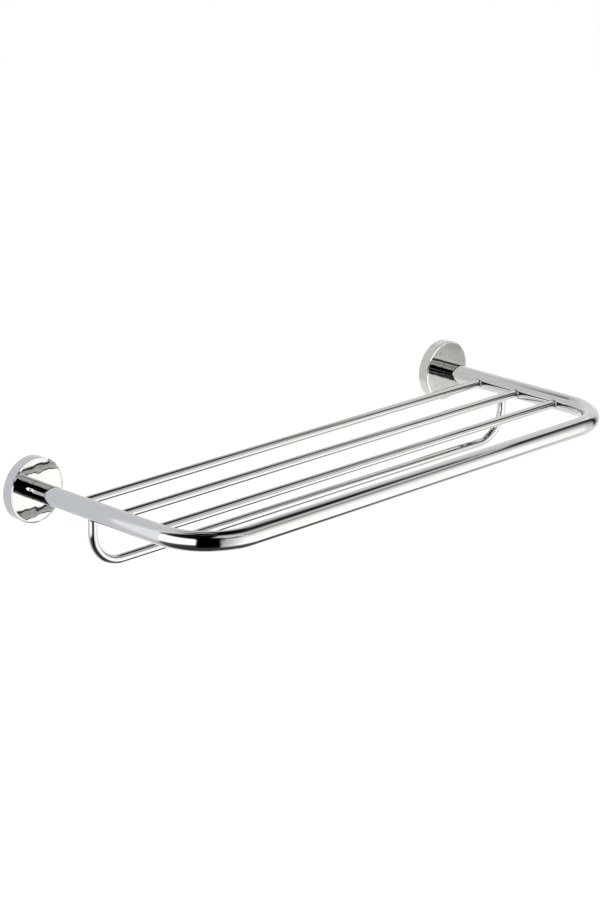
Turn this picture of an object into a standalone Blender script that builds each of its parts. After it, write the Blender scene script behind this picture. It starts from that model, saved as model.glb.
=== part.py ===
# Wall towel rack in chromed brass tube: one bent frame with three shelf bars across it and a towel rail
# hanging below, held by two round rosettes with hidden fixings.
# Metres, +Z up. The origin lies on the wall, midway between the two rosettes, level with the arms' axes.
# +X runs along the wall and +Y points into it, so the rack stands out from the wall towards -Y.

import math

import bmesh
import bpy
from mathutils import Matrix, Vector

# Frame: two arms and a front rail, bent from one tube
ARM_SPACING = 0.600             # between the axes of the two arms
PROJECTION = 0.250              # from the wall to the front rail's axis
TUBE_DIAMETER = 0.020
TUBE_WALL = 0.0015
TUBE_BEND_RADIUS = 0.058        # on the tube's centre line

# Shelf bars: slim tubes let into the arms' inner sides
BAR_NAMES = ("back", "middle", "front")
BAR_DIAMETER = 0.0095
BAR_WALL = 0.0010
BACK_BAR_OFFSET = 0.067         # from the wall to the back bar's axis
FRONT_BAR_GAP = 0.075           # from the front bar's axis to the front rail's axis
BAR_DROP = 0.001                # the bars' axes lie this far below the arms' axes

# Lower towel rail: one slim tube bent to a U, with its legs let into the arms from below
RAIL_DIAMETER = 0.0095
RAIL_WALL = 0.0010
RAIL_DROP = 0.058               # from the arms' axes down to the rail's axis
RAIL_BEND_RADIUS = 0.035        # on the rail's centre line

# Brazed joints and fits
SOCKET_REACH = 0.0025           # how far a bar or leg stands inside the frame tube's bore
FIT_GAP = 0.0003                # between pieces that touch
OVERRUN = 0.004                 # how far a cutter runs past what it cuts

# Rosette: a turned cup, open towards the wall
ROSETTE_DIAMETER = 0.067
ROSETTE_DEPTH = 0.012
ROSETTE_RIM = 0.0025            # wall thickness of the rim
ROSETTE_FACE = 0.0025           # wall thickness of the face
ROSETTE_EDGE = 0.0008           # rounding between the rim and the face

# Wall plate: a turned disc inside the rosette, with a raised ring that the grub screw bites into
PLATE_BASE = 0.003
PLATE_RING_WALL = 0.004
PLATE_HEADROOM = 0.0015         # from the ring's top to the inside of the rosette's face
PLATE_HOLE_MARGIN = 0.00175     # round the clamp bolt's head
GROOVE_DEPTH = 0.0016           # a V groove of 90 degrees round the ring
SLOT_WIDTH = 0.005              # for the wall screws
SLOT_LENGTH = 0.011

# Clamp bolt: pulls the arm's end plug against the rosette's face
BOLT_DIAMETER = 0.006
BOLT_LENGTH = 0.018             # under the head
BOLT_HEAD_LEDGE = 0.00225       # how far the head stands out past the shank
BOLT_HEAD_HEIGHT = 0.0033
BOLT_SOCKET = 0.004             # across the flats
BOLT_SOCKET_DEPTH = 0.0020
BOLT_CHAMFER = 0.0006
WASHER_WIDTH = 0.0020
WASHER_THICKNESS = 0.0012
WASHER_SPLIT = 0.0008

# Arm end plug: fixed in the arm's bore, with the thread for the clamp bolt
PLUG_LENGTH = 0.020
PLUG_CHAMFER = 0.0010

# Grub screw: locks the rosette on the wall plate from below
GRUB_DIAMETER = 0.004
GRUB_TIP_RADIUS = 0.0003
GRUB_RECESS = 0.0003            # its end lies this far inside the rim
GRUB_SOCKET = 0.002             # across the flats
GRUB_SOCKET_DEPTH = 0.0013

# Fineness of the solids
TUBE_SIDES = 28
SLIM_SIDES = 20
BEND_STEPS = 9
TURN_STEPS = 40
SMALL_TURN_STEPS = 24
EDGE_STEPS = 3
DOME_STEPS = 5
HEXAGON_SIDES = 6
MERGE_DISTANCE = 0.00001
BEND_ROOM_SHARE = 0.95          # of a straight stretch that a bend may take up
SMOOTH_ANGLE = math.radians(35)
WASHER_PITCH_ANGLE = math.radians(25)
GROOVE_SLOPE = math.tan(math.radians(45))

# Colours from the photograph, as red, green, blue
CHROME = (0.80, 0.81, 0.82)
BRASS = (0.72, 0.55, 0.28)
STEEL = (0.56, 0.57, 0.58)
CAST_ZINC = (0.48, 0.49, 0.50)

# Sizes that follow from the ones above
HALF_SPACING = ARM_SPACING / 2
TUBE_RADIUS = TUBE_DIAMETER / 2
BORE_RADIUS = TUBE_RADIUS - TUBE_WALL
BAR_RADIUS = BAR_DIAMETER / 2
RAIL_RADIUS = RAIL_DIAMETER / 2
ARM_END = ROSETTE_DEPTH + FIT_GAP                      # the arm starts this far from the wall
BAR_PITCH = (PROJECTION - BACK_BAR_OFFSET - FRONT_BAR_GAP) / (len(BAR_NAMES) - 1)
BAR_HALF_LENGTH = HALF_SPACING - BORE_RADIUS + SOCKET_REACH
RAIL_OFFSET = BACK_BAR_OFFSET + BAR_PITCH / 2          # the rail hangs midway between two bars
RAIL_TOP = SOCKET_REACH - BORE_RADIUS                  # height of the legs' ends
ROSETTE_RADIUS = ROSETTE_DIAMETER / 2
BOLT_RADIUS = BOLT_DIAMETER / 2
BOLT_HOLE_RADIUS = BOLT_RADIUS + FIT_GAP
BOLT_HEAD_RADIUS = BOLT_RADIUS + BOLT_HEAD_LEDGE
PLATE_RADIUS = ROSETTE_RADIUS - ROSETTE_RIM - FIT_GAP
PLATE_HEIGHT = ROSETTE_DEPTH - ROSETTE_FACE - PLATE_HEADROOM
PLATE_HOLE_RADIUS = BOLT_HEAD_RADIUS + PLATE_HOLE_MARGIN
SLOT_OFFSET = (PLATE_HOLE_RADIUS + PLATE_RADIUS - PLATE_RING_WALL) / 2
GRUB_RADIUS = GRUB_DIAMETER / 2
GRUB_HEIGHT = (PLATE_BASE + PLATE_HEIGHT) / 2          # the grub screw's axis, out from the wall
GRUB_END = ROSETTE_RADIUS - GRUB_RECESS
GRUB_TIP = PLATE_RADIUS - GROOVE_DEPTH + GRUB_TIP_RADIUS + FIT_GAP * math.sqrt(2)


def clear_scene():
    for item in list(bpy.data.objects):
        bpy.data.objects.remove(item, do_unlink=True)


def new_collection(name):
    collection = bpy.data.collections.new(name)
    bpy.context.scene.collection.children.link(collection)
    return collection


def metal(name, colour, roughness):
    material = bpy.data.materials.new(name)
    material.use_nodes = True
    shader = material.node_tree.nodes["Principled BSDF"]
    shader.inputs["Base Color"].default_value = (*colour, 1)
    shader.inputs["Metallic"].default_value = 1
    shader.inputs["Roughness"].default_value = roughness
    return material


clear_scene()
rack = new_collection("wall_towel_rack")
cutters = new_collection("cutters")
chrome = metal("polished_chrome", CHROME, 0.04)
brass = metal("turned_brass", BRASS, 0.30)
steel = metal("zinc_plated_steel", STEEL, 0.35)
zinc = metal("cast_zinc", CAST_ZINC, 0.45)


# Helpers that make solids

def add_piece(name, mesh, material, parent=None):
    piece = bpy.data.objects.new(name, mesh)
    rack.objects.link(piece)
    mesh.materials.append(material)
    piece.parent = parent
    return piece


def add_cutter(name, mesh, parent=None):
    cutter = bpy.data.objects.new(name, mesh)
    cutters.objects.link(cutter)
    cutter.parent = parent
    cutter.hide_render = True
    cutter.display_type = "WIRE"
    return cutter


def cut(piece, cutter):
    modifier = piece.modifiers.new(cutter.name, "BOOLEAN")
    modifier.operation = "DIFFERENCE"
    modifier.object = cutter


def weld(piece):
    modifier = piece.modifiers.new("weld", "WELD")
    modifier.merge_threshold = MERGE_DISTANCE


def mesh_from_curve(curve):
    # A curve's caps and fills are loose, so its mesh is welded
    holder = bpy.data.objects.new(curve.name, curve)
    bpy.context.scene.collection.objects.link(holder)
    graph = bpy.context.evaluated_depsgraph_get()
    mesh = bpy.data.meshes.new_from_object(holder.evaluated_get(graph))
    bpy.data.objects.remove(holder)
    bpy.data.curves.remove(curve)
    shape = bmesh.new()
    shape.from_mesh(mesh)
    bmesh.ops.remove_doubles(shape, verts=shape.verts, dist=MERGE_DISTANCE)
    shape.to_mesh(mesh)
    shape.free()
    mesh.shade_smooth()
    mesh.set_sharp_from_angle(angle=SMOOTH_ANGLE)
    return mesh


def bent_path(corners, radius):
    # The path through the corners, with each inner corner rounded to an arc of the given radius
    corners = [Vector(corner) for corner in corners]
    last = len(corners) - 1
    points = [corners[0]]
    for index in range(1, last):
        here = corners[index]
        back = corners[index - 1] - here
        ahead = corners[index + 1] - here
        room = min(
            back.length / (1 if index == 1 else 2),
            ahead.length / (1 if index + 1 == last else 2),
        )
        half_angle = back.angle(ahead) / 2
        tangent = min(radius / math.tan(half_angle), room * BEND_ROOM_SHARE)
        arc_radius = tangent * math.tan(half_angle)
        centre = here + (back.normalized() + ahead.normalized()).normalized() * arc_radius / math.sin(half_angle)
        spoke = here + back.normalized() * tangent - centre
        axis = ahead.cross(back)
        sweep = math.pi - 2 * half_angle
        for step in range(BEND_STEPS + 1):
            turn = Matrix.Rotation(sweep * step / BEND_STEPS, 3, axis)
            points.append(centre + turn @ spoke)
    points.append(corners[last])
    return points


def lengthened(points, extra):
    # The same path, run on straight past both of its ends
    first = points[0] + (points[0] - points[1]).normalized() * extra
    last = points[-1] + (points[-1] - points[-2]).normalized() * extra
    return [first, *points[1:-1], last]


def rod_mesh(name, points, radius, sides):
    curve = bpy.data.curves.new(name, "CURVE")
    curve.dimensions = "3D"
    curve.bevel_depth = radius
    curve.bevel_resolution = sides // 2 - 2
    curve.use_fill_caps = True
    spline = curve.splines.new("POLY")
    spline.points.add(len(points) - 1)
    for place, point in zip(spline.points, points):
        place.co = (*point, 1)
    return mesh_from_curve(curve)


def tube_piece(name, points, radius, wall, sides, material):
    # A bent tube: a rod along the path, with its bore cut right through
    piece = add_piece(name, rod_mesh(name, points, radius, sides), material)
    bore_path = lengthened(points, OVERRUN)
    cut(piece, add_cutter(name + "_bore", rod_mesh(name + "_bore", bore_path, radius - wall, sides)))
    return piece


def turned_mesh(name, profile, closed):
    # The profile's points are (radius, height); it runs down its outer side, from the top
    mesh = bpy.data.meshes.new(name)
    shape = bmesh.new()
    corners = [shape.verts.new((radius, 0, height)) for radius, height in profile]
    for here, ahead in zip(corners, corners[1:]):
        shape.edges.new((here, ahead))
    if closed:
        shape.edges.new((corners[-1], corners[0]))
    shape.to_mesh(mesh)
    shape.free()
    return mesh


def turn(item, steps):
    modifier = item.modifiers.new("turn", "SCREW")
    modifier.axis = "Z"
    modifier.angle = math.tau
    modifier.steps = steps
    modifier.render_steps = steps
    modifier.use_merge_vertices = True
    modifier.merge_threshold = MERGE_DISTANCE
    modifier.use_smooth_shade = True


def turned_piece(name, profile, steps, material, parent=None, closed=True):
    piece = add_piece(name, turned_mesh(name, profile, closed), material, parent)
    turn(piece, steps)
    return piece


def round_cutter(name, radius, depth, sides, parent):
    # A round or six-sided cutter that stands on its origin along +Z
    mesh = bpy.data.meshes.new(name)
    shape = bmesh.new()
    bmesh.ops.create_cone(
        shape,
        cap_ends=True,
        segments=sides,
        radius1=radius,
        radius2=radius,
        depth=depth,
        matrix=Matrix.Translation((0, 0, depth / 2)),
    )
    shape.to_mesh(mesh)
    shape.free()
    return add_cutter(name, mesh, parent)


def arc(centre_radius, centre_height, radius, start, end, steps):
    # Profile points on an arc, with angles from the +X axis towards +Z
    points = []
    for step in range(steps + 1):
        angle = start + (end - start) * step / steps
        points.append((
            centre_radius + radius * math.cos(angle),
            centre_height + radius * math.sin(angle),
        ))
    return points


# Bars, rail and frame

def bar_offset(index):
    return BACK_BAR_OFFSET + BAR_PITCH * index


def bar_profile(radius, wall):
    return [
        (radius, BAR_HALF_LENGTH),
        (radius, -BAR_HALF_LENGTH),
        (radius - wall, -BAR_HALF_LENGTH),
        (radius - wall, BAR_HALF_LENGTH),
    ]


def add_shelf_bars():
    for index, name in enumerate(BAR_NAMES):
        bar = turned_piece("shelf_bar_" + name, bar_profile(BAR_RADIUS, BAR_WALL), SLIM_SIDES, chrome)
        bar.location = (0, -bar_offset(index), -BAR_DROP)
        bar.rotation_euler = (0, math.pi / 2, 0)


def rail_path():
    return bent_path(
        [
            (-HALF_SPACING, -RAIL_OFFSET, RAIL_TOP),
            (-HALF_SPACING, -RAIL_OFFSET, -RAIL_DROP),
            (HALF_SPACING, -RAIL_OFFSET, -RAIL_DROP),
            (HALF_SPACING, -RAIL_OFFSET, RAIL_TOP),
        ],
        RAIL_BEND_RADIUS,
    )


def add_lower_rail():
    tube_piece("lower_rail", rail_path(), RAIL_RADIUS, RAIL_WALL, SLIM_SIDES, chrome)


def add_frame_tube():
    path = bent_path(
        [
            (-HALF_SPACING, -ARM_END, 0),
            (-HALF_SPACING, -PROJECTION, 0),
            (HALF_SPACING, -PROJECTION, 0),
            (HALF_SPACING, -ARM_END, 0),
        ],
        TUBE_BEND_RADIUS,
    )
    frame = tube_piece("frame_tube", path, TUBE_RADIUS, TUBE_WALL, TUBE_SIDES, chrome)
    # Each bar's cutter drills its socket in both arms, and the rail's drills both undersides
    for index, name in enumerate(BAR_NAMES):
        reach = BAR_HALF_LENGTH + FIT_GAP
        axis = [
            Vector((-reach, -bar_offset(index), -BAR_DROP)),
            Vector((reach, -bar_offset(index), -BAR_DROP)),
        ]
        socket = "socket_" + name
        cut(frame, add_cutter(socket, rod_mesh(socket, axis, BAR_RADIUS + FIT_GAP, SLIM_SIDES)))
    legs = lengthened(rail_path(), FIT_GAP)
    cut(frame, add_cutter("socket_rail", rod_mesh("socket_rail", legs, RAIL_RADIUS + FIT_GAP, SLIM_SIDES)))


# Fixing of one arm. Its pieces hang on an empty whose +Z points straight out from the wall,
# so their heights are distances from the wall, and its -Y points down

def add_fixing_frame(side, x):
    fixing = bpy.data.objects.new("fixing_" + side, None)
    rack.objects.link(fixing)
    fixing.location = (x, 0, 0)
    fixing.rotation_euler = (math.pi / 2, 0, 0)
    return fixing


def add_rosette(side, fixing):
    profile = arc(
        ROSETTE_RADIUS - ROSETTE_EDGE,
        ROSETTE_DEPTH - ROSETTE_EDGE,
        ROSETTE_EDGE,
        math.pi / 2,
        0,
        EDGE_STEPS,
    )
    profile += [
        (ROSETTE_RADIUS, 0),
        (ROSETTE_RADIUS - ROSETTE_RIM, 0),
        (ROSETTE_RADIUS - ROSETTE_RIM, ROSETTE_DEPTH - ROSETTE_FACE),
        (BOLT_HOLE_RADIUS, ROSETTE_DEPTH - ROSETTE_FACE),
        (BOLT_HOLE_RADIUS, ROSETTE_DEPTH),
    ]
    rosette = turned_piece("rosette_" + side, profile, TURN_STEPS, chrome, fixing)
    hole = round_cutter(
        "grub_hole_" + side,
        GRUB_RADIUS + FIT_GAP,
        ROSETTE_RIM + 2 * OVERRUN,
        SMALL_TURN_STEPS,
        fixing,
    )
    hole.location = (0, -ROSETTE_RADIUS - OVERRUN, GRUB_HEIGHT)
    hole.rotation_euler = (-math.pi / 2, 0, 0)
    cut(rosette, hole)


def slot_mesh(name):
    # An upright slot with round ends
    curve = bpy.data.curves.new(name, "CURVE")
    curve.dimensions = "2D"
    curve.fill_mode = "BOTH"
    curve.extrude = (PLATE_BASE + 2 * OVERRUN) / 2
    radius = SLOT_WIDTH / 2
    straight = SLOT_LENGTH / 2 - radius
    outline = arc(0, straight, radius, 0, math.pi, DOME_STEPS)
    outline += arc(0, -straight, radius, math.pi, math.tau, DOME_STEPS)
    spline = curve.splines.new("POLY")
    spline.points.add(len(outline) - 1)
    spline.use_cyclic_u = True
    for place, (across, up) in zip(spline.points, outline):
        place.co = (across, up, 0, 1)
    return mesh_from_curve(curve)


def add_wall_plate(side, fixing):
    profile = [
        (PLATE_RADIUS, PLATE_HEIGHT),
        (PLATE_RADIUS, 0),
        (PLATE_HOLE_RADIUS, 0),
        (PLATE_HOLE_RADIUS, PLATE_BASE),
        (PLATE_RADIUS - PLATE_RING_WALL, PLATE_BASE),
        (PLATE_RADIUS - PLATE_RING_WALL, PLATE_HEIGHT),
    ]
    plate = turned_piece("wall_plate_" + side, profile, TURN_STEPS, zinc, fixing)
    mouth = (GROOVE_DEPTH + OVERRUN) * GROOVE_SLOPE
    groove_profile = [
        (PLATE_RADIUS + OVERRUN, GRUB_HEIGHT + mouth),
        (PLATE_RADIUS + OVERRUN, GRUB_HEIGHT - mouth),
        (PLATE_RADIUS - GROOVE_DEPTH, GRUB_HEIGHT),
    ]
    groove = add_cutter("groove_" + side, turned_mesh("groove_" + side, groove_profile, True), fixing)
    turn(groove, TURN_STEPS)
    cut(plate, groove)
    for hand, offset in (("a", -SLOT_OFFSET), ("b", SLOT_OFFSET)):
        name = "slot_" + side + "_" + hand
        slot = add_cutter(name, slot_mesh(name), fixing)
        slot.location = (offset, 0, PLATE_BASE / 2)
        cut(plate, slot)
    # The groove's facets meet the ring's at the same angles and leave double points there
    weld(plate)


def add_washer(side, fixing):
    seat = ROSETTE_DEPTH - ROSETTE_FACE - FIT_GAP
    outer = BOLT_HOLE_RADIUS + WASHER_WIDTH
    profile = [
        (outer, 0),
        (outer, -WASHER_THICKNESS),
        (BOLT_HOLE_RADIUS, -WASHER_THICKNESS),
        (BOLT_HOLE_RADIUS, 0),
    ]
    washer = turned_piece("spring_washer_" + side, profile, SMALL_TURN_STEPS, steel, fixing)
    washer.location = (0, 0, seat)
    name = "washer_split_" + side
    mesh = bpy.data.meshes.new(name)
    shape = bmesh.new()
    bmesh.ops.create_cube(shape, size=1)
    size = (WASHER_SPLIT, WASHER_WIDTH + OVERRUN, WASHER_THICKNESS + OVERRUN)
    bmesh.ops.scale(shape, vec=size, verts=shape.verts)
    shape.to_mesh(mesh)
    shape.free()
    split = add_cutter(name, mesh, fixing)
    split.location = (0, BOLT_HOLE_RADIUS + WASHER_WIDTH / 2, seat - WASHER_THICKNESS / 2)
    split.rotation_euler = (0, WASHER_PITCH_ANGLE, 0)
    cut(washer, split)


def add_clamp_bolt(side, fixing):
    # The shank runs outwards into the plug, and the domed head faces the wall
    seat = ROSETTE_DEPTH - ROSETTE_FACE - 2 * FIT_GAP - WASHER_THICKNESS
    end = BOLT_LENGTH
    profile = [
        (0, end),
        (BOLT_RADIUS - BOLT_CHAMFER, end),
        (BOLT_RADIUS, end - BOLT_CHAMFER),
        (BOLT_RADIUS, 0),
        (BOLT_HEAD_RADIUS, 0),
    ]
    crown = BOLT_HEAD_RADIUS - BOLT_SOCKET / math.sqrt(3) - BOLT_CHAMFER
    for step in range(1, DOME_STEPS + 1):
        angle = math.pi / 2 * step / DOME_STEPS
        profile.append((
            BOLT_HEAD_RADIUS - crown * (1 - math.cos(angle)),
            -BOLT_HEAD_HEIGHT * math.sin(angle),
        ))
    profile.append((0, -BOLT_HEAD_HEIGHT))
    bolt = turned_piece("clamp_bolt_" + side, profile, SMALL_TURN_STEPS, steel, fixing, closed=False)
    bolt.location = (0, 0, seat)
    socket = round_cutter(
        "bolt_socket_" + side,
        BOLT_SOCKET / math.sqrt(3),
        BOLT_SOCKET_DEPTH + OVERRUN,
        HEXAGON_SIDES,
        fixing,
    )
    socket.location = (0, 0, seat - BOLT_HEAD_HEIGHT - OVERRUN)
    cut(bolt, socket)


def add_arm_plug(side, fixing):
    radius = BORE_RADIUS - FIT_GAP
    profile = [
        (radius - PLUG_CHAMFER, PLUG_LENGTH),
        (radius, PLUG_LENGTH - PLUG_CHAMFER),
        (radius, 0),
        (BOLT_HOLE_RADIUS, 0),
        (BOLT_HOLE_RADIUS, PLUG_LENGTH),
    ]
    plug = turned_piece("arm_plug_" + side, profile, SMALL_TURN_STEPS, brass, fixing)
    plug.location = (0, 0, ARM_END)


def add_grub_screw(side, fixing):
    # It stands upright in the rim's underside, with its cone point up in the groove
    length = GRUB_END - GRUB_TIP
    profile = [
        (0, length),
        (GRUB_TIP_RADIUS, length),
        (GRUB_RADIUS, length - (GRUB_RADIUS - GRUB_TIP_RADIUS) / GROOVE_SLOPE),
        (GRUB_RADIUS, 0),
        (0, 0),
    ]
    grub = turned_piece("grub_screw_" + side, profile, SMALL_TURN_STEPS, steel, fixing, closed=False)
    grub.location = (0, -GRUB_END, GRUB_HEIGHT)
    grub.rotation_euler = (-math.pi / 2, 0, 0)
    socket = round_cutter(
        "grub_socket_" + side,
        GRUB_SOCKET / math.sqrt(3),
        GRUB_SOCKET_DEPTH + OVERRUN,
        HEXAGON_SIDES,
        fixing,
    )
    socket.location = (0, -GRUB_END - OVERRUN, GRUB_HEIGHT)
    socket.rotation_euler = (-math.pi / 2, 0, 0)
    cut(grub, socket)


add_frame_tube()
add_shelf_bars()
add_lower_rail()
for side_name, side_x in (("left", -HALF_SPACING), ("right", HALF_SPACING)):
    side_fixing = add_fixing_frame(side_name, side_x)
    add_rosette(side_name, side_fixing)
    add_wall_plate(side_name, side_fixing)
    add_washer(side_name, side_fixing)
    add_clamp_bolt(side_name, side_fixing)
    add_arm_plug(side_name, side_fixing)
    add_grub_screw(side_name, side_fixing)
bpy.context.view_layer.update()
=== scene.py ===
# Wall towel rack in chromed tube: the finished pieces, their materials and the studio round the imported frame
import math

import bmesh
import bpy
from mathutils import Matrix, Vector


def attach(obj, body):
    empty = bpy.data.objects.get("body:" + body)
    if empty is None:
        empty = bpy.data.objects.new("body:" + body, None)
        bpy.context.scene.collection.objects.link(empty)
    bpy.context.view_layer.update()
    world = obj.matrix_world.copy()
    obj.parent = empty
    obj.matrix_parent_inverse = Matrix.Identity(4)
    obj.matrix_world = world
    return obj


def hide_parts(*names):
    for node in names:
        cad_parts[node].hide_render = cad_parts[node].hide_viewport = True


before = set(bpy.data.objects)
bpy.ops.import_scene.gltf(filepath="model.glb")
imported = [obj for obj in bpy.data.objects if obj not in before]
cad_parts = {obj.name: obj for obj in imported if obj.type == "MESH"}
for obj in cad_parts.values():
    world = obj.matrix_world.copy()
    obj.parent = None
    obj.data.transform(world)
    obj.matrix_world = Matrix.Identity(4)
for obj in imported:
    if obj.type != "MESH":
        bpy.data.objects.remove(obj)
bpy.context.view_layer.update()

scene = bpy.context.scene
print("frame loaded with", len(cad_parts), "nodes")

# Sizes in the dictionaries below are in millimetres and angles in degrees, unless a note says otherwise


def mm(value):
    return value / 1000


def linearColour(hexText):
    # sRGB hex to the linear values that a shader takes
    shares = [int(hexText[place:place + 2], 16) / 255 for place in (1, 3, 5)]
    return [*(s / 12.92 if s <= 0.04045 else ((s + 0.055) / 1.055) ** 2.4 for s in shares), 1.0]


def addNode(tree, kind, inputs=None, **settings):
    # An input is a plain value, or a (node, output) pair to link from
    node = tree.nodes.new(kind)
    for name, value in settings.items():
        setattr(node, name, value)
    for name, value in (inputs or {}).items():
        if isinstance(value, tuple) and isinstance(value[0], bpy.types.Node):
            tree.links.new(value[0].outputs[value[1]], node.inputs[name])
        else:
            node.inputs[name].default_value = value
    return node


# Materials

tubeChrome = {
    "cool": "#c5c7c6",
    "warm": "#c8c8c3",
    "tintSize": 160,            # a slow drift of tint along a tube
    "wave": 9,                  # length of the ripples that drawing and polishing leave
    "waveHeight": 0.001,        # on a tube they only just bend a reflection
    "smear": 22,                # size of the faint polish haze
    "roughness": (0.0, 0.04),
}
rosetteChrome = {
    "cool": "#c5c7c6",
    "warm": "#c8c8c3",
    "tintSize": 90,
    "wave": 9,
    "waveHeight": 0.15,         # buffing leaves a flat face less true than a tube
    "smear": 14,
    "roughness": (0.0, 0.04),
}
# Bare metals. The real grain is a tenth of a millimetre or less, and it is drawn coarser so that it shows
castZinc = {                    # die-cast zinc as it leaves the mould: dull grey with cloudy patches
    "pale": "#979a9d",
    "dark": "#828588",
    "mottle": 3,
    "grain": 0.35,
    "grainHeight": 0.02,
    "roughness": (0.38, 0.58),
}
platedSteel = {                 # zinc plate on steel: brighter, with faint yellowish patches
    "pale": "#b9bdc2",
    "dark": "#a7a79c",
    "mottle": 2.5,
    "grain": 0.25,
    "grainHeight": 0.004,
    "roughness": (0.22, 0.36),
}
turnedBrass = {                 # brass from the lathe: warm yellow, duller where it has begun to tarnish
    "pale": "#d1ad63",
    "dark": "#b98f45",
    "mottle": 5,
    "grain": 0.3,
    "grainHeight": 0.006,
    "roughness": (0.22, 0.34),
}

# A noise texture seldom leaves the middle of its range, so only that is spread out
mottleSpan = {"From Min": 0.3, "From Max": 0.7}
hazeSpan = {"From Min": 0.35, "From Max": 0.7}


def newMaterial(name):
    material = bpy.data.materials.new(name)
    material.use_nodes = True
    return material, material.node_tree, material.node_tree.nodes["Principled BSDF"]


def polishedChrome(name, finish):
    # Nickel and chrome plate over polished brass: a mirror with slow ripples and hardly any haze
    material, tree, shader = newMaterial(name)
    place = addNode(tree, "ShaderNodeTexCoord")
    drift = addNode(tree, "ShaderNodeTexNoise",
                    {"Vector": (place, "Object"), "Scale": 1 / mm(finish["tintSize"]), "Detail": 1.0})
    tint = addNode(tree, "ShaderNodeMix", {0: (drift, 0), 6: linearColour(finish["cool"]),
                                           7: linearColour(finish["warm"])}, data_type="RGBA")
    haze = addNode(tree, "ShaderNodeTexNoise",
                   {"Vector": (place, "Object"), "Scale": 1 / mm(finish["smear"]), "Detail": 4.0})
    low, high = finish["roughness"]
    rough = addNode(tree, "ShaderNodeMapRange",
                    {"Value": (haze, 0), **hazeSpan, "To Min": low, "To Max": high})
    ripple = addNode(tree, "ShaderNodeTexNoise",
                     {"Vector": (place, "Object"), "Scale": 1 / mm(finish["wave"]), "Detail": 0.0})
    bump = addNode(tree, "ShaderNodeBump", {"Height": (ripple, 0), "Distance": mm(finish["waveHeight"])})
    shader.inputs["Metallic"].default_value = 1.0
    tree.links.new(tint.outputs[2], shader.inputs["Base Color"])
    tree.links.new(rough.outputs[0], shader.inputs["Roughness"])
    tree.links.new(bump.outputs[0], shader.inputs["Normal"])
    return material


def plainMetal(name, finish):
    # Metal that was cast, plated or turned and never polished: mottled and fine-grained, rougher where dark
    material, tree, shader = newMaterial(name)
    place = addNode(tree, "ShaderNodeTexCoord")
    mottle = addNode(tree, "ShaderNodeTexNoise",
                     {"Vector": (place, "Object"), "Scale": 1 / mm(finish["mottle"]), "Detail": 5.0})
    spread = addNode(tree, "ShaderNodeMapRange", {"Value": (mottle, 0), **mottleSpan})
    colour = addNode(tree, "ShaderNodeMix", {0: (spread, 0), 6: linearColour(finish["dark"]),
                                             7: linearColour(finish["pale"])}, data_type="RGBA")
    low, high = finish["roughness"]
    rough = addNode(tree, "ShaderNodeMapRange",
                    {"Value": (mottle, 0), **mottleSpan, "To Min": high, "To Max": low})
    grain = addNode(tree, "ShaderNodeTexNoise",
                    {"Vector": (place, "Object"), "Scale": 1 / mm(finish["grain"]), "Detail": 2.0})
    bump = addNode(tree, "ShaderNodeBump", {"Height": (grain, 0), "Distance": mm(finish["grainHeight"])})
    shader.inputs["Metallic"].default_value = 1.0
    tree.links.new(colour.outputs[2], shader.inputs["Base Color"])
    tree.links.new(rough.outputs[0], shader.inputs["Roughness"])
    tree.links.new(bump.outputs[0], shader.inputs["Normal"])
    return material


tubeFinish = polishedChrome("polishedChromeTube", tubeChrome)
rosetteFinish = polishedChrome("polishedChromeRosette", rosetteChrome)
zincFinish = plainMetal("rawCastZinc", castZinc)
steelFinish = plainMetal("zincPlatedSteel", platedSteel)
brassFinish = plainMetal("turnedBrass", turnedBrass)
print("materials made")


# Shape trees

def startTree(name, sizes):
    # A tree with a geometry input and output, and its input node with the named sizes
    tree = bpy.data.node_groups.new(name, "GeometryNodeTree")
    tree.interface.new_socket("Geometry", in_out="OUTPUT", socket_type="NodeSocketGeometry")
    tree.interface.new_socket("Geometry", in_out="INPUT", socket_type="NodeSocketGeometry")
    for label, kind in sizes.items():
        tree.interface.new_socket(label, in_out="INPUT", socket_type="NodeSocket" + kind)
    return tree, tree.nodes.new("NodeGroupInput")


def endTree(tree, given, shape):
    # Every tree ends in a real mesh with its finish set
    real = addNode(tree, "GeometryNodeRealizeInstances", {0: shape})
    finished = addNode(tree, "GeometryNodeSetMaterial",
                       {"Geometry": (real, 0), "Material": (given, "Finish")})
    addNode(tree, "NodeGroupOutput", {0: (finished, 0)})
    return tree


def bentTubeTree():
    # The corners of the input mesh become a tube with rounded bends
    tree, given = startTree("bentTube", {
        "Bend Radius": "Float", "Bend Steps": "Int", "Ring Spacing": "Float",
        "Tube Radius": "Float", "Sides": "Int", "Finish": "Material"})
    path = addNode(tree, "GeometryNodeMeshToCurve", {"Mesh": (given, "Geometry")})
    bent = addNode(tree, "GeometryNodeFilletCurve",
                   {"Curve": (path, 0), "Radius": (given, "Bend Radius"), "Count": (given, "Bend Steps")},
                   mode="POLY")
    even = addNode(tree, "GeometryNodeResampleCurve",
                   {"Curve": (bent, 0), "Length": (given, "Ring Spacing")}, mode="LENGTH")
    ring = addNode(tree, "GeometryNodeCurvePrimitiveCircle",
                   {"Resolution": (given, "Sides"), "Radius": (given, "Tube Radius")})
    skin = addNode(tree, "GeometryNodeCurveToMesh", {"Curve": (even, 0), "Profile Curve": (ring, 0)})
    return endTree(tree, given, (skin, 0))


def rowTree():
    # The input mesh is repeated in a row, each copy turned the same way
    tree, given = startTree("row", {
        "Count": "Int", "First": "Vector", "Step": "Vector", "Turn": "Vector", "Finish": "Material"})
    row = addNode(tree, "GeometryNodeMeshLine",
                  {"Count": (given, "Count"), "Start Location": (given, "First"), "Offset": (given, "Step")})
    copies = addNode(tree, "GeometryNodeInstanceOnPoints",
                     {"Points": (row, 0), "Instance": (given, "Geometry"), "Rotation": (given, "Turn")})
    return endTree(tree, given, (copies, 0))


bentTube = bentTubeTree()
rowOfCopies = rowTree()


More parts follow.
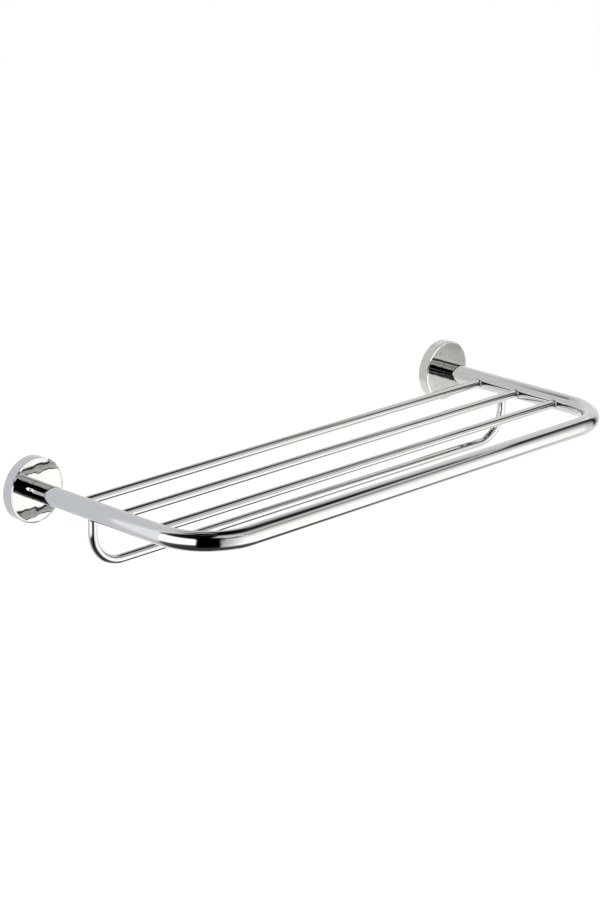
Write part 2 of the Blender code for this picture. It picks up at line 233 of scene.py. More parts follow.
def runTree(tree, startMesh, values, wall=None):
    # The tree's result as a plain mesh; wall thickens an open tube inwards
    holder = bpy.data.objects.new("holder", startMesh)
    scene.collection.objects.link(holder)
    shaping = holder.modifiers.new("shape", "NODES")
    shaping.node_group = tree
    sockets = {s.name: s.identifier for s in tree.interface.items_tree if s.in_out == "INPUT"}
    for label, value in values.items():
        shaping[sockets[label]] = value
    mesh = plainMesh(holder)
    bpy.data.meshes.remove(startMesh)
    if wall:
        mesh = thickened(cleaned(mesh), wall)
    return mesh


def plainMesh(holder):
    # The evaluated object's mesh, without the object
    graph = bpy.context.evaluated_depsgraph_get()
    mesh = bpy.data.meshes.new_from_object(holder.evaluated_get(graph))
    bpy.data.objects.remove(holder)
    return mesh


sameSpot = 0.001                # points closer than this are merged


def cleaned(mesh):
    # Doubles merged and faces turned outwards
    shape = bmesh.new()
    shape.from_mesh(mesh)
    bmesh.ops.remove_doubles(shape, verts=shape.verts, dist=mm(sameSpot))
    bmesh.ops.recalc_face_normals(shape, faces=shape.faces)
    shape.to_mesh(mesh)
    shape.free()
    return mesh


def thickened(mesh, wall):
    holder = bpy.data.objects.new("holder", mesh)
    scene.collection.objects.link(holder)
    walling = holder.modifiers.new("wall", "SOLIDIFY")
    walling.thickness = wall
    walling.offset = -1         # inwards
    walling.use_even_offset = True
    made = plainMesh(holder)
    bpy.data.meshes.remove(mesh)
    return made


def meshFrom(points, edges=(), faces=()):
    mesh = bpy.data.meshes.new("shape")
    mesh.from_pydata([tuple(mm(value) for value in point) for point in points], edges, faces)
    return mesh


def cornerPath(corners):
    return meshFrom(corners, edges=[(index, index + 1) for index in range(len(corners) - 1)])


hold = {
    "gap": 0.04,                # how far from a corner the extra points lie
    "least": 0.32,              # shorter stretches get none
}


def held(profile):
    # Extra points close to the ends of long stretches, so that smooth shading keeps flats flat
    points = []
    for here, ahead in zip(profile, profile[1:] + profile[:1]):
        points.append(here)
        length = math.dist(here, ahead)
        if length > hold["least"]:
            for share in (hold["gap"] / length, 1 - hold["gap"] / length):
                points.append([a + (b - a) * share for a, b in zip(here, ahead)])
    return points


roundSteps = 8


def rounded(corner, before, after, radius):
    # The points of a small round at a profile's corner
    corner, before, after = Vector(corner), Vector(before), Vector(after)
    back, ahead = (before - corner).normalized(), (after - corner).normalized()
    half = back.angle(ahead) / 2
    start, end = corner + back * radius / math.tan(half), corner + ahead * radius / math.tan(half)
    centre = corner + (back + ahead).normalized() * radius / math.sin(half)
    spoke, last = start - centre, end - centre
    sweep = spoke.angle_signed(last)
    return [centre + Matrix.Rotation(-sweep * step / roundSteps, 2) @ spoke for step in range(roundSteps + 1)]


def roundedProfile(corners):
    # Corners are (radius, height, round); a round of 0 keeps the corner sharp
    points = []
    for index, (across, up, radius) in enumerate(corners):
        before, after = corners[index - 1][:2], corners[(index + 1) % len(corners)][:2]
        if radius:
            points += [tuple(p) for p in rounded((across, up), before, after, radius)]
        else:
            points.append((across, up))
    return points


onAxis = 1e-6                   # a profile's points nearer than this to the axis become poles


def turnedMesh(profile, steps, closed=True):
    # A profile of (radius, height) points turned round the +Z axis
    shape = bmesh.new()
    rings = []
    for across, up in profile:
        if across < onAxis:
            rings.append([shape.verts.new((0, 0, mm(up)))])
            continue
        rings.append([shape.verts.new((
            mm(across) * math.cos(math.tau * step / steps),
            mm(across) * math.sin(math.tau * step / steps),
            mm(up))) for step in range(steps)])
    pairs = list(zip(rings, rings[1:] + rings[:1])) if closed else list(zip(rings, rings[1:]))
    for near, far in pairs:
        for step in range(steps):
            ahead = (step + 1) % steps
            corners = [near[step % len(near)], near[ahead % len(near)],
                       far[ahead % len(far)], far[step % len(far)]]
            corners = list(dict.fromkeys(corners))
            if len(corners) > 2:
                shape.faces.new(corners)
    mesh = bpy.data.meshes.new("turned")
    bmesh.ops.recalc_face_normals(shape, faces=shape.faces)
    shape.to_mesh(mesh)
    shape.free()
    return mesh


def joined(*meshes):
    # Several shells in one mesh
    shape = bmesh.new()
    for mesh in meshes:
        shape.from_mesh(mesh)
        bpy.data.meshes.remove(mesh)
    made = bpy.data.meshes.new("joined")
    shape.to_mesh(made)
    shape.free()
    return made


def without(mesh, *cutters):
    # The mesh with each cutter taken out of it
    holder = bpy.data.objects.new("holder", mesh)
    scene.collection.objects.link(holder)
    tools = []
    for cutter in cutters:
        tool = bpy.data.objects.new("cutter", cutter)
        scene.collection.objects.link(tool)
        cutting = holder.modifiers.new("cut", "BOOLEAN")
        cutting.operation = "DIFFERENCE"
        cutting.solver = "EXACT"
        cutting.object = tool
        tools.append(tool)
    made = plainMesh(holder)
    for tool in tools:
        bpy.data.objects.remove(tool)
    for used in (mesh, *cutters):
        bpy.data.meshes.remove(used)
    return cleaned(made)


overshoot = 1                   # how far a cutter stands out of what it cuts


def prism(outline, low, high):
    # A straight solid on an outline of (x, y) points, from one height to another
    count = len(outline)
    points = [(x, y, low) for x, y in outline] + [(x, y, high) for x, y in outline]
    faces = [tuple(range(count))[::-1], tuple(range(count, 2 * count))]
    faces += [(i, (i + 1) % count, (i + 1) % count + count, i + count) for i in range(count)]
    return cleaned(meshFrom(points, faces=faces))


def circlePoints(radius, count, x=0, y=0, start=0, sweep=360):
    share = count if sweep == 360 else count - 1
    angles = [math.radians(start + sweep * step / share) for step in range(count)]
    return [(x + radius * math.cos(a), y + radius * math.sin(a)) for a in angles]


sharpAngle = 35                 # edges steeper than this stay sharp


def finishPiece(name, mesh, material, nodes=()):
    # The finished piece at the origin, on its body, in place of the frame's nodes
    piece = bpy.data.objects.new(name, mesh)
    scene.collection.objects.link(piece)
    mesh.materials.clear()
    mesh.materials.append(material)
    mesh.shade_smooth()
    mesh.set_sharp_from_angle(angle=math.radians(sharpAngle))
    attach(piece, "root")
    if nodes:
        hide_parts(*nodes)
    return piece


# Frame: two arms and the front rail, bent from one tube

frameTube = {
    "spacing": 600,             # arm to arm
    "reach": 250,               # wall to the front rail
    "start": 12.3,              # wall to the arms' ends
    "diameter": 20,
    "wall": 1.5,
    "bendRadius": 58,
    "bendSteps": 60,
    "ringSpacing": 3,
    "sides": 64,
}
half = frameTube["spacing"] / 2


def tubeMesh(corners, sizes):
    return runTree(bentTube, cornerPath(corners), {
        "Bend Radius": mm(sizes["bendRadius"]),
        "Bend Steps": sizes["bendSteps"],
        "Ring Spacing": mm(sizes["ringSpacing"]),
        "Tube Radius": mm(sizes["diameter"] / 2),
        "Sides": sizes["sides"],
        "Finish": tubeFinish,
    }, wall=mm(sizes["wall"]))


frameMesh = tubeMesh([
    (-half, -frameTube["start"], 0),
    (-half, -frameTube["reach"], 0),
    (half, -frameTube["reach"], 0),
    (half, -frameTube["start"], 0),
], frameTube)
finishPiece("frame_tube_chromed", frameMesh, tubeFinish, ["frame_tube"])
print("frame bent:", len(frameMesh.polygons), "faces")


# Shelf bars: three slim tubes in a row between the arms

shelfBars = {
    "names": ("back", "middle", "front"),
    "first": 67,                # wall to the back bar
    "pitch": 54,
    "drop": 1,                  # below the arms' axes
    "halfLength": 294,
    "diameter": 9.5,
    "wall": 1,
    "bendRadius": 0,
    "bendSteps": 1,
    "ringSpacing": 49,
    "sides": 48,
}
barCount = len(shelfBars["names"])
barStep = (0, -shelfBars["pitch"], 0)


def repeated(mesh, count, first, step, turn, material):
    return runTree(rowOfCopies, mesh, {
        "Count": count,
        "First": [mm(value) for value in first],
        "Step": [mm(value) for value in step],
        "Turn": [math.radians(value) for value in turn],
        "Finish": material,
    })


oneBar = tubeMesh([(-shelfBars["halfLength"], 0, 0), (shelfBars["halfLength"], 0, 0)], shelfBars)
barMesh = repeated(oneBar, barCount, (0, -shelfBars["first"], -shelfBars["drop"]), barStep,
                   (0, 0, 0), tubeFinish)
finishPiece("shelf_bars_chromed", barMesh, tubeFinish,
            ["shelf_bar_" + name for name in shelfBars["names"]])
print("shelf bars in place:", len(barMesh.polygons), "faces")


# Lower towel rail: a slim U that hangs from the arms

lowerRail = {
    "offset": 94,               # wall to the rail
    "drop": 58,                 # below the arms' axes
    "top": -6,                  # the legs' ends, inside the arms
    "diameter": 9.5,
    "wall": 1,
    "bendRadius": 35,
    "bendSteps": 60,
    "ringSpacing": 2.5,
    "sides": 48,
}
railMesh = tubeMesh([
    (-half, -lowerRail["offset"], lowerRail["top"]),
    (-half, -lowerRail["offset"], -lowerRail["drop"]),
    (half, -lowerRail["offset"], -lowerRail["drop"]),
    (half, -lowerRail["offset"], lowerRail["top"]),
], lowerRail)
finishPiece("lower_rail_chromed", railMesh, tubeFinish, ["lower_rail"])
print("lower rail bent:", len(railMesh.polygons), "faces")


# Brazed joints: a small hollow fillet where each bar and leg runs into an arm

brazing = {
    "fillet": 0.9,
    "sunk": 0.3,                # its hidden sides lie this deep in the tubes
    "turns": 72,
    "steps": 6,
}


def jointMesh(drop, sizes):
    # The arm lies along Y at the origin, and the bar leaves it towards +X
    arm, bar = frameTube["diameter"] / 2, shelfBars["diameter"] / 2
    reach, sunk = sizes["fillet"], sizes["sunk"]

    def onArm(across, angle):
        up = -drop + across * math.sin(angle)
        return Vector((math.sqrt(arm ** 2 - up ** 2), across * math.cos(angle), up))

    points, faces = [], []
    for turn in range(sizes["turns"]):
        angle = math.tau * turn / sizes["turns"]
        corner = onArm(bar, angle)
        onBar = corner + Vector((reach, 0, 0))
        far = onArm(bar + reach, angle)
        inwards = Vector((0, -math.cos(angle), -math.sin(angle))) * sunk
        back = Vector((-sunk, 0, 0))
        for step in range(sizes["steps"] + 1):
            t = step / sizes["steps"]
            points.append(onBar * (1 - t) ** 2 + corner * 2 * t * (1 - t) + far * t ** 2)
        hidden = [far + back, corner + back + inwards, onBar + inwards]
        points += hidden
    loop = sizes["steps"] + 1 + len(hidden)
    for turn in range(sizes["turns"]):
        here, ahead = turn * loop, (turn + 1) % sizes["turns"] * loop
        for step in range(loop):
            after = (step + 1) % loop
            faces.append((here + step, here + after, ahead + after, ahead + step))
    return cleaned(meshFrom(points, faces=faces))


barJoint = jointMesh(shelfBars["drop"], brazing)
leftJoints = repeated(barJoint.copy(), barCount, (-half, -shelfBars["first"], 0), barStep,
                      (0, 0, 0), tubeFinish)
rightJoints = repeated(barJoint, barCount, (half, -shelfBars["first"], 0), barStep,
                       (0, 0, 180), tubeFinish)
legJoints = repeated(jointMesh(0, brazing), 2, (-half, -lowerRail["offset"], 0), (2 * half, 0, 0),
                     (0, 90, 0), tubeFinish)
finishPiece("brazed_joints", joined(leftJoints, rightJoints, legJoints), tubeFinish)
print("joints brazed")


# Fixings: made once with +Z pointing out from the wall, then repeated at both arms

def onBothArms(mesh, material):
    return repeated(mesh, 2, (-half, 0, 0), (2 * half, 0, 0), (90, 0, 0), material)


rosette = {
    "diameter": 67,
    "depth": 12,
    "rim": 2.5,
    "face": 2.5,
    "bevel": (2.2, 0.45),       # width and drop of the shallow slope that draws a bright line round the face
    "bevelRound": 2,
    "edge": 0.6,
    "backEdge": 0.25,
    "innerRound": 1.2,
    "boltHole": 3.3,
    "grubHole": 2.3,
    "holeSides": 32,
    "turns": 160,
}
grubHeight = 5.5                # the grub screw's axis, out from the wall


def rosetteMesh(sizes):
    outer = sizes["diameter"] / 2
    inner, inside = outer - sizes["rim"], sizes["depth"] - sizes["face"]
    bevelWidth, bevelDrop = sizes["bevel"]
    profile = roundedProfile([
        (sizes["boltHole"], sizes["depth"], 0),
        (outer - bevelWidth, sizes["depth"], sizes["bevelRound"]),
        (outer, sizes["depth"] - bevelDrop, sizes["edge"]),
        (outer, 0, sizes["backEdge"]),
        (inner, 0, sizes["backEdge"]),
        (inner, inside, sizes["innerRound"]),
        (sizes["boltHole"], inside, 0),
    ])
    cup = turnedMesh(held(profile), sizes["turns"])
    # The cutter starts one rim's thickness outside the rim and ends one inside it
    hole = prism(circlePoints(sizes["grubHole"], sizes["holeSides"]), 0, sizes["rim"] * 3)
    hole.transform(Matrix.Translation((0, mm(-outer - sizes["rim"]), mm(grubHeight)))
                   @ Matrix.Rotation(math.radians(-90), 4, "X"))
    return without(cup, hole)


finishPiece("rosettes_chromed", onBothArms(rosetteMesh(rosette), rosetteFinish), rosetteFinish,
            ["rosette_left", "rosette_right"])

wallPlate = {
    "diameter": 61.4,
    "base": 3,
    "height": 8,
    "ringWall": 4,
    "hole": 7,
    "groove": 1.6,              # depth of the V that the grub screw's cone sits in
    "round": 0.4,
    "innerRound": 0.8,
    "slotWidth": 5,
    "slotLength": 11,
    "slotOffset": 16.85,
    "slotEndSides": 17,
    "pinMark": 1.6,             # radius of the round marks that the mould's ejector pins leave
    "pinDepth": 0.25,
    "pinOffset": 22,
    "pinSides": 28,
    "turns": 128,
}


def wallPlateMesh(sizes):
    outer = sizes["diameter"] / 2
    inner, groove, soft = outer - sizes["ringWall"], sizes["groove"], sizes["round"]
    profile = roundedProfile([
        (outer, sizes["height"], soft),
        (outer, grubHeight + groove, 0),
        (outer - groove, grubHeight, 0),
        (outer, grubHeight - groove, 0),
        (outer, 0, soft),
        (sizes["hole"], 0, soft),
        (sizes["hole"], sizes["base"], soft),
        (inner, sizes["base"], sizes["innerRound"]),
        (inner, sizes["height"], soft),
    ])
    plate = turnedMesh(profile, sizes["turns"])
    cutters = []
    radius, ends = sizes["slotWidth"] / 2, sizes["slotEndSides"]
    straight = sizes["slotLength"] / 2 - radius
    for side in (-1, 1):
        x = side * sizes["slotOffset"]
        slot = circlePoints(radius, ends, x, straight, 0, 180)
        slot += circlePoints(radius, ends, x, -straight, 180, 180)
        mark = circlePoints(sizes["pinMark"], sizes["pinSides"], 0, side * sizes["pinOffset"])
        cutters.append(prism(slot, -overshoot, sizes["base"] + overshoot))
        cutters.append(prism(mark, -overshoot, sizes["pinDepth"]))
    return without(plate, *cutters)


finishPiece("wall_plates_cast", onBothArms(wallPlateMesh(wallPlate), zincFinish), zincFinish,
            ["wall_plate_left", "wall_plate_right"])
print("rosettes and wall plates turned")

washer = {
    "inner": 3.3,
    "outer": 5.3,
    "thickness": 1.2,
    "top": 9.2,
    "split": 0.8,
    "slant": 25,
    "turns": 96,
    "edge": 0.12,
}


def springWasherMesh(sizes):
    # A flat ring with one slanted cut
    top, low, edge = sizes["top"], sizes["top"] - sizes["thickness"], sizes["edge"]
    inner, outer = sizes["inner"], sizes["outer"]
    section = [(inner + edge, top), (outer - edge, top), (outer, top - edge), (outer, low + edge),
               (outer - edge, low), (inner + edge, low), (inner, low + edge), (inner, top - edge)]
    middle = (inner + outer) / 2
    gap = math.degrees(sizes["split"] / middle)
    points, faces = [], []
    for step in range(sizes["turns"] + 1):
        for across, up in section:
            lean = (up - (top + low) / 2) * math.tan(math.radians(sizes["slant"])) / middle
            angle = math.radians(90 + gap / 2 + (360 - gap) * step / sizes["turns"]) + lean
            points.append((across * math.cos(angle), across * math.sin(angle), up))
    count = len(section)
    for step in range(sizes["turns"]):
        for corner in range(count):
            after = (corner + 1) % count
            here, ahead = step * count, (step + 1) * count
            faces.append((here + corner, here + after, ahead + after, ahead + corner))
    faces += [tuple(range(count)), tuple(range(len(points) - count, len(points)))[::-1]]
    return cleaned(meshFrom(points, faces=faces))


finishPiece("spring_washers_plated", onBothArms(springWasherMesh(washer), steelFinish), steelFinish,
            ["spring_washer_left", "spring_washer_right"])


threadForm = {
    "root": 0.46,               # half the ridge's width at its root and tip, in pitches
    "tip": 0.06,
    "sunk": 0.1,                # its root lies this deep in the core
    "runOut": 0.5,              # turns over which it grows from the core, and sinks again
}


def threadMesh(core, crest, pitch, low, high, turnSteps=28):
    # A ridge that winds up the screw and runs out at both ends
    points, faces = [], []
    count = max(2, int((high - low) / pitch * turnSteps))
    root, tip, runOut = threadForm["root"], threadForm["tip"], threadForm["runOut"]
    for step in range(count + 1):
        angle = math.tau * step / turnSteps
        up = low + (high - low) * step / count
        grow = min(1, step / turnSteps / runOut, (count - step) / turnSteps / runOut)
        base, ridge = core - threadForm["sunk"], core + (crest - core) * grow
        for across, offset in ((base, -root), (ridge, -tip), (ridge, tip), (base, root)):
            points.append((across * math.cos(angle), across * math.sin(angle), up + offset * pitch))
    for step in range(count):
        for corner in range(4):
            after = (corner + 1) % 4
            faces.append((4 * step + corner, 4 * step + after, 4 * step + 4 + after, 4 * step + 4 + corner))
    faces += [(0, 1, 2, 3), tuple(range(len(points) - 4, len(points)))[::-1]]
    return cleaned(meshFrom(points, faces=faces))


def hexagon(acrossFlats):
    return circlePoints(acrossFlats / math.sqrt(3), 6)


clampBolt = {
    "shank": 3,
    "core": 2.55,
    "length": 18,
    "tip": 0.5,                 # bevel at the shank's end
    "seat": 7.7,                # wall to the underside of the head
    "neck": 1.2,                # full thickness this far from the head, thinner from "neckEnd" on
    "neckEnd": 1.6,
    "thread": (2.6, 1),         # how far it stays off the head and off the end
    "head": 5.25,
    "headHeight": 3.3,
    "headEdge": 0.1,
    "crownSteps": 12,
    "crownFlat": 0.5,           # left flat round the socket's corners
    "socket": 4,
    "socketDepth": 2,
    "pitch": 1,
    "turns": 64,
}


def clampBoltMesh(sizes):
    # The shank runs outwards into the plug and the domed head faces the wall
    shank, core, head, edge = sizes["shank"], sizes["core"], sizes["head"], sizes["headEdge"]
    seat, end, low = sizes["seat"], sizes["seat"] + sizes["length"], sizes["seat"] - sizes["headHeight"]
    profile = [(0, end), (core - sizes["tip"], end), (core, end - sizes["tip"]),
               (core, seat + sizes["neckEnd"]), (shank, seat + sizes["neck"]), (shank, seat),
               (head - edge, seat), (head, seat - edge)]
    crown = head - (sizes["socket"] / math.sqrt(3) + sizes["crownFlat"])
    for step in range(1, sizes["crownSteps"] + 1):
        angle = math.pi / 2 * step / sizes["crownSteps"]
        profile.append((head - crown * (1 - math.cos(angle)),
                        seat - edge - (sizes["headHeight"] - edge) * math.sin(angle)))
    profile.append((0, low))
    body = turnedMesh(profile, sizes["turns"], closed=False)
    socket = prism(hexagon(sizes["socket"]), low - overshoot, low + sizes["socketDepth"])
    offHead, offEnd = sizes["thread"]
    thread = threadMesh(core, shank, sizes["pitch"], seat + offHead, end - offEnd)
    return joined(without(body, socket), thread)


finishPiece("clamp_bolts_plated", onBothArms(clampBoltMesh(clampBolt), steelFinish), steelFinish,
            ["clamp_bolt_left", "clamp_bolt_right"])

grubScrew = {
    "radius": 2,
    "core": 1.65,
    "length": 3.62,
    "tip": 0.3,                 # radius of the cone's blunt tip
    "end": 33.2,                # arm's axis to the socket's end
    "collar": (0.15, 0.35),     # a plain collar from here to here keeps the thread off the socket's end
    "collarLow": 0.05,          # it stays this much under the thread's crest
    "chamfer": 0.2,
    "coreFrom": 0.5,
    "threadFrom": 0.9,
    "threadSteps": 24,
    "socket": 2,
    "socketDepth": 1.3,
    "pitch": 0.7,
    "turns": 48,
}


def grubScrewMesh(sizes):
    # It stands upright in the rim's underside, with its cone up in the plate's groove
    core, length, tip = sizes["core"], sizes["length"], sizes["tip"]
    collar = sizes["radius"] - sizes["collarLow"]
    low, high = sizes["collar"]
    profile = [(0, length), (tip, length), (core, length - core + tip), (core, sizes["coreFrom"]),
               (collar, high), (collar, low), (collar - sizes["chamfer"], 0), (0, 0)]
    body = turnedMesh(profile, sizes["turns"], closed=False)
    socket = prism(hexagon(sizes["socket"]), -overshoot, sizes["socketDepth"])
    thread = threadMesh(core, sizes["radius"], sizes["pitch"], sizes["threadFrom"],
                        length - (sizes["radius"] - tip), sizes["threadSteps"])
    screw = joined(without(body, socket), thread)
    screw.transform(Matrix.Translation((0, mm(-sizes["end"]), mm(grubHeight)))
                    @ Matrix.Rotation(math.radians(-90), 4, "X"))
    return screw


finishPiece("grub_screws_plated", onBothArms(grubScrewMesh(grubScrew), steelFinish), steelFinish,
            ["grub_screw_left", "grub_screw_right"])

# The plugs inside the arms keep the frame's own shape
for side in ("left", "right"):
    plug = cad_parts["arm_plug_" + side]
    plug.data.materials.clear()
    plug.data.materials.append(brassFinish)
print("washers, bolts and screws made")


# Camera, at the photograph's place and angle

view = {
    "place": (-2006.73, -2061.84, 909.62),
    "yaw": 0.79105,             # these three in radians
    "pitch": 0.3152,
    "roll": 0.0077,
    "lens": 114.37,
    "sensor": 36,
    "near": 50,
    "far": 60000,
}
camera = bpy.data.objects.new("camera", bpy.data.cameras.new("camera"))
scene.collection.objects.link(camera)
forward = Vector((math.sin(view["yaw"]) * math.cos(view["pitch"]),
                  math.cos(view["yaw"]) * math.cos(view["pitch"]),
                  -math.sin(view["pitch"])))
level = Vector((math.cos(view["yaw"]), -math.sin(view["yaw"]), 0))
upright = level.cross(forward)
right = level * math.cos(view["roll"]) + upright * math.sin(view["roll"])
up = upright * math.cos(view["roll"]) - level * math.sin(view["roll"])
camera.matrix_world = Matrix.Translation([mm(value) for value in view["place"]]) @ Matrix(
    (right, up, -forward)).transposed().to_4x4()
camera.data.lens = view["lens"]
camera.data.sensor_width = view["sensor"]
camera.data.clip_start = mm(view["near"])
camera.data.clip_end = mm(view["far"])
scene.camera = camera


# Studio: a white room, and curved cards round the rack that only its mirror finish sees

white = (1.0, 1.0, 1.0, 1.0)
room = {
    "level": 0.85,              # the white room's light on the rack
    "floorDrop": 2400,
    "floorSize": 24000,
    "floorColour": "#e8e8e6",
    "floorLift": 0.45,          # added where the camera or a mirror sees the floor
}
dome = {
    "centre": (0, -125, 0),
    "step": 1.5,                # width of a card's cells
    "leastCells": 4,            # across or up even the smallest card
}

# Corners are (longitude, latitude) from the centre: 0 looks out from the wall, 90 towards +X, up is positive.
# They run bottom left, bottom right, top right, top left. Glow is each corner's level, 1 being white. Soft is
# the share of the card over which the left, right, bottom and top edges fade. A card is white unless it has a
# tint, and it hides those behind it, which come later. The three glints are small and show in the left
# rosette's dark image of its arm. edgeLight is small too, and draws the pale line round the right rosette.
plainTint = "#ffffff"
cards = {
    "glintTail": {"radius": 385, "corners": ((-99.8, -3.2), (-95.4, -3.2), (-95, 5.6), (-99.9, 5.6)),
        "glow": (1.44, 1.44, 1.44, 1.44), "soft": (0.02, 0.02, 0.02, 0.02), "tint": "#f3f5fd"},
    "coolWall": {"radius": 400, "corners": ((-146, -50), (-100.5, -50), (-100.5, 50), (-146, 50)),
        "glow": (0.98, 0.98, 0.98, 0.98), "soft": (0.2, 0.05, 0.15, 0.15), "tint": "#f2f5ff"},
    "edgeLight": {"radius": 425, "corners": ((83.8, 3.5), (97.3, 1.9), (97.3, 3.7), (83.8, 5)),
        "glow": (1.5, 0.95, 0.95, 1.5), "soft": (0.02, 0.02, 0.02, 0.02)},
    "glintSpot": {"radius": 428, "corners": ((-89.7, -3.5), (-88.9, -3.5), (-88.1, 6.5), (-88.9, 6.5)),
        "glow": (4, 4, 4, 4), "soft": (0, 0, 0, 0)},
    "glintTip": {"radius": 429, "corners": ((-88.3, -1.5), (-87.7, -1.5), (-87, 8), (-87.6, 8)),
        "glow": (4, 4, 4, 4), "soft": (0, 0, 0, 0)},
    "softBoxSide": {"radius": 560, "corners": ((-110, -25), (-99, -14), (-99, 20), (-112.2, 34)),
        "glow": (1.44, 1.44, 1.44, 1.44), "soft": (0.1, 0.04, 0.25, 0.15), "tint": "#f3f5fd"},
    "blackCore": {"radius": 708, "corners": ((66.1, -15.8), (78.9, -17.4), (79.4, 32), (69.9, 33.3)),
        "glow": (0.1, 0, 0.04, 0), "soft": (0.34, 0.35, 0.36, 0.18)},
    "blackStripe": {"radius": 719, "corners": ((68.3, -19), (93.4, -21.5), (77.1, 37.6), (40.6, 26.3)),
        "glow": (0.21, 0.5, 0, 0), "soft": (0.67, 0.23, 0.71, 0.03)},
    "darkBand": {"radius": 800, "corners": ((2.2, 29.2), (64.9, 18.7), (74.8, 41.5), (4.5, 48.9)),
        "glow": (0.07, 0.07, 0.39, 0.77), "soft": (0, 0.02, 0.45, 0.64)},
    "blackTop": {"radius": 802, "corners": ((50, 48), (97, 44), (111, 67), (42, 67)),
        "glow": (0, 0, 0, 0.04), "soft": (0.37, 0.37, 0.17, 0.04)},
    "ceilingRight": {"radius": 818, "corners": ((67, 36), (100, 42), (130, 65), (71, 67)),
        "glow": (0, 0.58, 0.09, 0), "soft": (0.03, 0.4, 0.17, 0.24)},
    "tableFar": {"radius": 839, "corners": ((40, -79), (150, -74), (128, -43), (70, -48)),
        "glow": (0.13, 0.31, 0.33, 0), "soft": (0.09, 0.3, 0.04, 0.43)},
    "tableRight": {"radius": 855, "corners": ((26, -76), (102, -59), (64, -11), (29, -66)),
        "glow": (0, 0, 0.58, 0), "soft": (0.6, 0.23, 0, 0.46)},
    "wallBehind": {"radius": 862, "corners": ((128, 15), (221, -56), (221, 56), (128, 52)),
        "glow": (0.93, 0.86, 0.86, 0.93), "soft": (0.28, 0.1, 0.15, 0.1)},
    "ceiling": {"radius": 885, "corners": ((-180, 61), (180, 21), (180, 90), (-180, 90)),
        "glow": (0, 0.03, 0, 0), "soft": (0.04, 0.06, 0.61, 0)},
    "tableFront": {"radius": 911, "corners": ((-180, -84), (71, -90), (73, -48), (-152, -17)),
        "glow": (0, 0.15, 0.13, 0), "soft": (0.3, 0, 0, 0.25)},
    "shadeEdge": {"radius": 931, "corners": ((-34, 20), (10, 25), (10, 39), (-35, 39)),
        "glow": (0.17, 0.29, 0.31, 0.3), "soft": (0.1, 0.39, 0.38, 0.3)},
    "softBoxTop": {"radius": 965, "corners": ((-52, 43), (97, 23), (70, 54), (-31, 84)),
        "glow": (0.49, 1.53, 0.06, 2.6), "soft": (0.09, 0, 0.06, 0)},
    "softBoxEdge": {"radius": 1169, "corners": ((-33, -52), (18, -53), (19, 39), (-34, 37)),
        "glow": (0.62, 2.35, 1.56, 0.43), "soft": (0.1, 0.4, 0.12, 0.36)},
    "softBoxFront": {"radius": 1474, "corners": ((-18, -45), (71, -62), (50, 26), (-20, 25)),
        "glow": (1.49, 1.9, 1.54, 1.92), "soft": (0.35, 0.12, 0.08, 0.27)},
    "blackGap": {"radius": 1497, "corners": ((-65, -58), (-25, -60), (-17, 73), (-61, 73)),
        "glow": (0, 0, 0, 0), "soft": (0.06, 0.07, 0.03, 0)},
    "softBoxLeft": {"radius": 1871, "corners": ((-119, -30), (-48, -23), (-64, 40), (-119, 39)),
        "glow": (1.9, 2.1, 1.9, 1.9), "soft": (0, 0.08, 0.18, 0.18), "tint": "#f8faff"},
    "blackLeft": {"radius": 2017, "corners": ((-136, 28), (-27, 12), (-27, 79), (-131, 79)),
        "glow": (0.05, 0, 0, 0), "soft": (0.16, 0, 0, 0)},
    "tableLeft": {"radius": 2130, "corners": ((-132, -61), (-41, -58), (-41, -10), (-117, -11)),
        "glow": (0.34, 0, 0, 0.19), "soft": (0, 0, 0, 0.15), "tint": "#e8d6c6"},
}


def smooth(share):
    share = min(max(share, 0), 1)
    return share * share * (3 - 2 * share)


def fade(share, start, end):
    # 0 at a soft edge, 1 inside
    near = smooth(share / start) if start else 1
    far = smooth((1 - share) / end) if end else 1
    return near * far


# The cards' material: plain light, seen through where a card fades out
cardFinish = bpy.data.materials.new("studioCard")
cardFinish.use_nodes = True
cardFinish.cycles.emission_sampling = "NONE"    # the cards show in reflections and are no lamps
cardTree = cardFinish.node_tree
cardTree.nodes.clear()
glow = addNode(cardTree, "ShaderNodeAttribute", attribute_name="glow")
cover = addNode(cardTree, "ShaderNodeAttribute", attribute_name="cover")
tint = addNode(cardTree, "ShaderNodeObjectInfo")
light = addNode(cardTree, "ShaderNodeEmission", {"Color": (tint, "Color"), "Strength": (glow, "Fac")})
clear = addNode(cardTree, "ShaderNodeBsdfTransparent")
mixed = addNode(cardTree, "ShaderNodeMixShader", {0: (cover, "Fac"), 1: (clear, 0), 2: (light, 0)})
addNode(cardTree, "ShaderNodeOutputMaterial", {"Surface": (mixed, 0)})


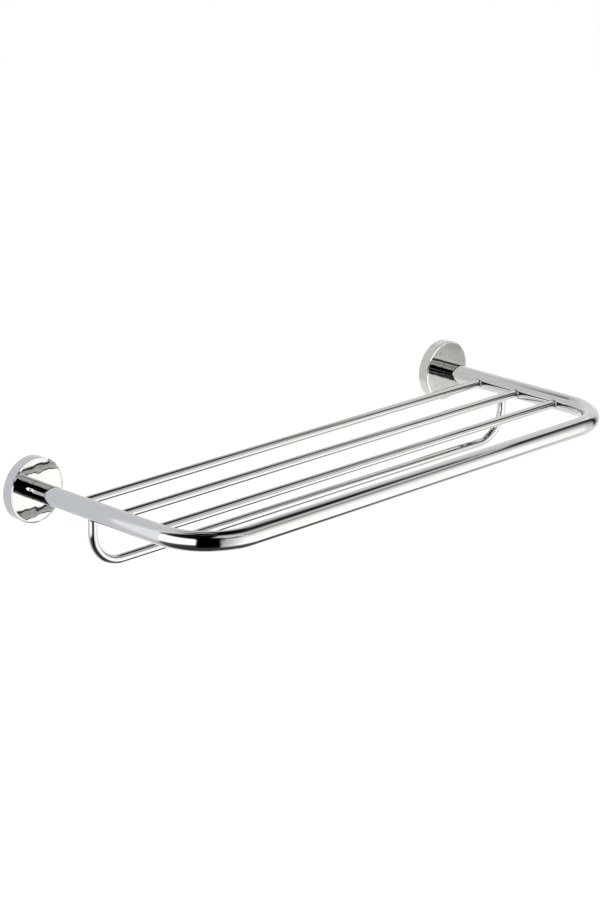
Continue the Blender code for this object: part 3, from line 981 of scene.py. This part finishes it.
def addCard(name, card):
    # A patch of the dome, with its glow and cover as attributes that the cards' material reads
    bottomLeft, bottomRight, topRight, topLeft = [Vector(corner) for corner in card["corners"]]
    width = max((bottomRight - bottomLeft).length, (topRight - topLeft).length)
    height = max((topLeft - bottomLeft).length, (topRight - bottomRight).length)
    columns = max(dome["leastCells"], int(width / dome["step"]))
    rows = max(dome["leastCells"], int(height / dome["step"]))
    glowBottomLeft, glowBottomRight, glowTopRight, glowTopLeft = card["glow"]
    softLeft, softRight, softBottom, softTop = card["soft"]
    points, glows, covers = [], [], []
    for row in range(rows + 1):
        v = row / rows
        for column in range(columns + 1):
            u = column / columns
            longitude, latitude = bottomLeft.lerp(bottomRight, u).lerp(topLeft.lerp(topRight, u), v)
            longitude, latitude = math.radians(longitude), math.radians(latitude)
            outwards = (math.sin(longitude) * math.cos(latitude),
                        -math.cos(longitude) * math.cos(latitude),
                        math.sin(latitude))
            points.append([c + card["radius"] * share for c, share in zip(dome["centre"], outwards)])
            bottomGlow = glowBottomLeft * (1 - u) + glowBottomRight * u
            topGlow = glowTopLeft * (1 - u) + glowTopRight * u
            glows.append(bottomGlow * (1 - v) + topGlow * v)
            covers.append(fade(u, softLeft, softRight) * fade(v, softBottom, softTop))
    wide = columns + 1
    faces = [(here, here + 1, here + wide + 1, here + wide)
             for row in range(rows) for here in range(row * wide, row * wide + columns)]
    mesh = meshFrom(points, faces=faces)
    for label, values in (("glow", glows), ("cover", covers)):
        mesh.attributes.new(label, "FLOAT", "POINT").data.foreach_set("value", values)
    mesh.materials.append(cardFinish)
    mesh.shade_smooth()
    piece = bpy.data.objects.new(name, mesh)
    piece.color = linearColour(card.get("tint", plainTint))
    scene.collection.objects.link(piece)
    for kind in ("camera", "diffuse", "shadow", "volume_scatter"):
        setattr(piece, "visible_" + kind, False)


for name, card in cards.items():
    addCard(name, card)

floorMesh = meshFrom([(x * room["floorSize"] / 2, y * room["floorSize"] / 2, -room["floorDrop"])
                      for x, y in ((-1, -1), (1, -1), (1, 1), (-1, 1))], faces=[(0, 1, 2, 3)])
floorFinish = bpy.data.materials.new("paleFloor")
floorFinish.use_nodes = True
floorTree = floorFinish.node_tree
floorTree.nodes.clear()


def seenPlainly(tree):
    # 1 for what the camera, a mirror or glass sees
    path = addNode(tree, "ShaderNodeLightPath")
    either = addNode(tree, "ShaderNodeMath", {0: (path, "Is Camera Ray"), 1: (path, "Is Glossy Ray")},
                     operation="MAXIMUM")
    return addNode(tree, "ShaderNodeMath", {0: (either, 0), 1: (path, "Is Transmission Ray")},
                   operation="MAXIMUM")


seen = seenPlainly(floorTree)
lift = addNode(floorTree, "ShaderNodeMath", {0: (seen, 0), 1: room["floorLift"]}, operation="MULTIPLY")
paint = addNode(floorTree, "ShaderNodeBsdfDiffuse", {"Color": linearColour(room["floorColour"])})
extra = addNode(floorTree, "ShaderNodeEmission", {"Color": white, "Strength": (lift, 0)})
both = addNode(floorTree, "ShaderNodeAddShader", {0: (paint, 0), 1: (extra, 0)})
addNode(floorTree, "ShaderNodeOutputMaterial", {"Surface": (both, 0)})
floorMesh.materials.append(floorFinish)
floor = bpy.data.objects.new("floor", floorMesh)
scene.collection.objects.link(floor)

world = bpy.data.worlds.new("whiteRoom")
world.use_nodes = True
worldTree = world.node_tree
worldTree.nodes.clear()
seen = seenPlainly(worldTree)
plain = addNode(worldTree, "ShaderNodeBackground", {"Color": white, "Strength": room["level"]})
backdrop = addNode(worldTree, "ShaderNodeBackground", {"Color": white, "Strength": 1.0})
mixed = addNode(worldTree, "ShaderNodeMixShader", {0: (seen, 0), 1: (plain, 0), 2: (backdrop, 0)})
addNode(worldTree, "ShaderNodeOutputWorld", {"Surface": (mixed, 0)})
scene.world = world

scene.view_settings.view_transform = "Standard"
print("camera and studio set")
